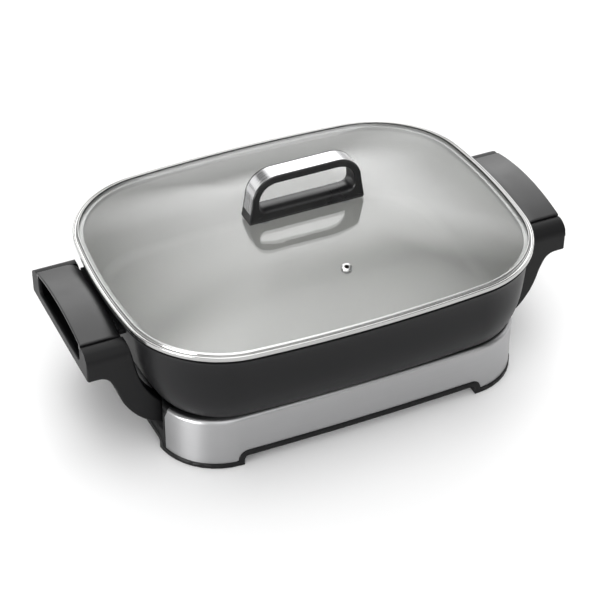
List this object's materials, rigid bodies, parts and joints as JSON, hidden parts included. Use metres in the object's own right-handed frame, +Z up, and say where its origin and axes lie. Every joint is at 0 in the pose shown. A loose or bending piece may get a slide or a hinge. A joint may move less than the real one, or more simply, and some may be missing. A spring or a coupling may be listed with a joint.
{
  "type": "electric skillet",
  "caption": "Deep rounded-rectangle electric skillet: lift-off domed glass lid with loop handle, lift-out pan with heater, steel-banded base with box handles at both ends.",
  "frame": {"origin": "on the counter, below the middle of the base", "axes": "+Z up, X along the long side from handle to handle, the steel band's front face towards -Y"},
  "size_m": [0.4734, 0.303, 0.2097],
  "materials": {
    "black_plastic": "satin moulded black phenolic",
    "cap_plastic": "satin moulded black phenolic",
    "sheet": "mill-finish sheet",
    "fastener": "bright plated steel",
    "rubber": "matt black rubber",
    "band_steel": "brushed stainless steel",
    "silicone": "matt heat-proof silicone",
    "pan_coat": "cast aluminium, satin black outside and light grey non-stick inside",
    "element": "oxidised steel sheath",
    "ceramic": "unglazed ceramic",
    "black_steel": "black enamelled sheet steel",
    "glass": "clear tempered glass",
    "ring_steel": "polished stainless steel"
  },
  "bodies": {
    "base": {"base_frame": "black_plastic", "base_floor": "sheet", "floor_screws": "fastener", "rubber_feet": "rubber", "front_band": "band_steel", "rear_band": "band_steel", "pan_pads": "silicone", "left_handle": "black_plastic", "right_handle": "black_plastic", "left_cap": "cap_plastic", "right_cap": "cap_plastic", "cap_screws": "fastener", "arm_screws": "fastener"},
    "pan": {"pan_shell": "pan_coat", "pan_ears": "pan_coat", "element_channel": "sheet", "heating_element": "element", "terminal_pins": "fastener", "pin_bushings": "ceramic", "sensor_sleeve": "fastener", "inlet_guard": "black_steel", "guard_studs": "fastener"},
    "lid": {"lid_glass": "glass", "lid_ring": "ring_steel", "steam_vent": "ring_steel", "lid_handle": "black_plastic", "handle_strip": "band_steel", "handle_pad": "silicone", "lid_screws": "fastener", "lid_washers": "silicone"}
  },
  "joints": [
    {"name": "pan_lift", "type": "slide", "parent": "base", "child": "pan", "axis": [0, 0, 1], "range_m": [0, 0.14]},
    {"name": "lid_lift", "type": "slide", "parent": "pan", "child": "lid", "axis": [0, 0, 1], "range_m": [0, 0.12]}
  ]
}
